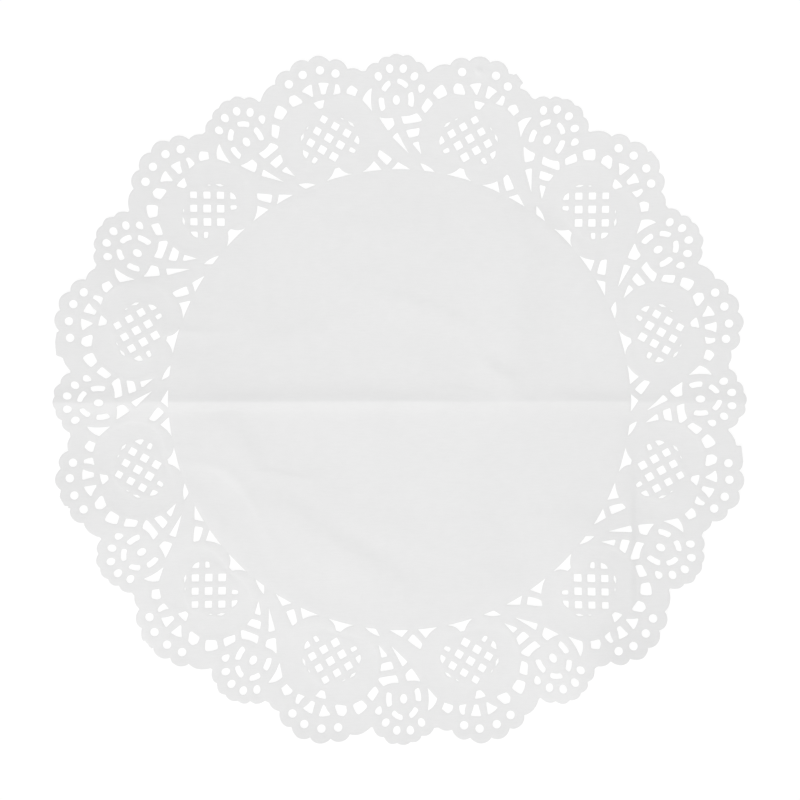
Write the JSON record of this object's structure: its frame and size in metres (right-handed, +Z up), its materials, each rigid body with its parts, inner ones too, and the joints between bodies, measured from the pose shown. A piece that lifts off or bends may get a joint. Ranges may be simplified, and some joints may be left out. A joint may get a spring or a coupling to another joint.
{
  "type": "die-cut paper lace doily",
  "caption": "Round white die-cut paper lace doily with a plain centre, a ring of flower and lattice medallion lace, a scalloped edge and a soft centre fold",
  "frame": {"origin": "the centre of the round sheet, on the surface it lies on", "axes": "+Z up out of the face of the sheet, X along the fold, +Y away from the front edge towards a flower, the fold 0.8 mm in front of the centre"},
  "size_m": [0.2986, 0.2986, 0.0028],
  "materials": {
    "white_paper": "matte uncoated, faintly mottled"
  },
  "bodies": {
    "root": {"doily": "white_paper"}
  },
  "joints": []
}
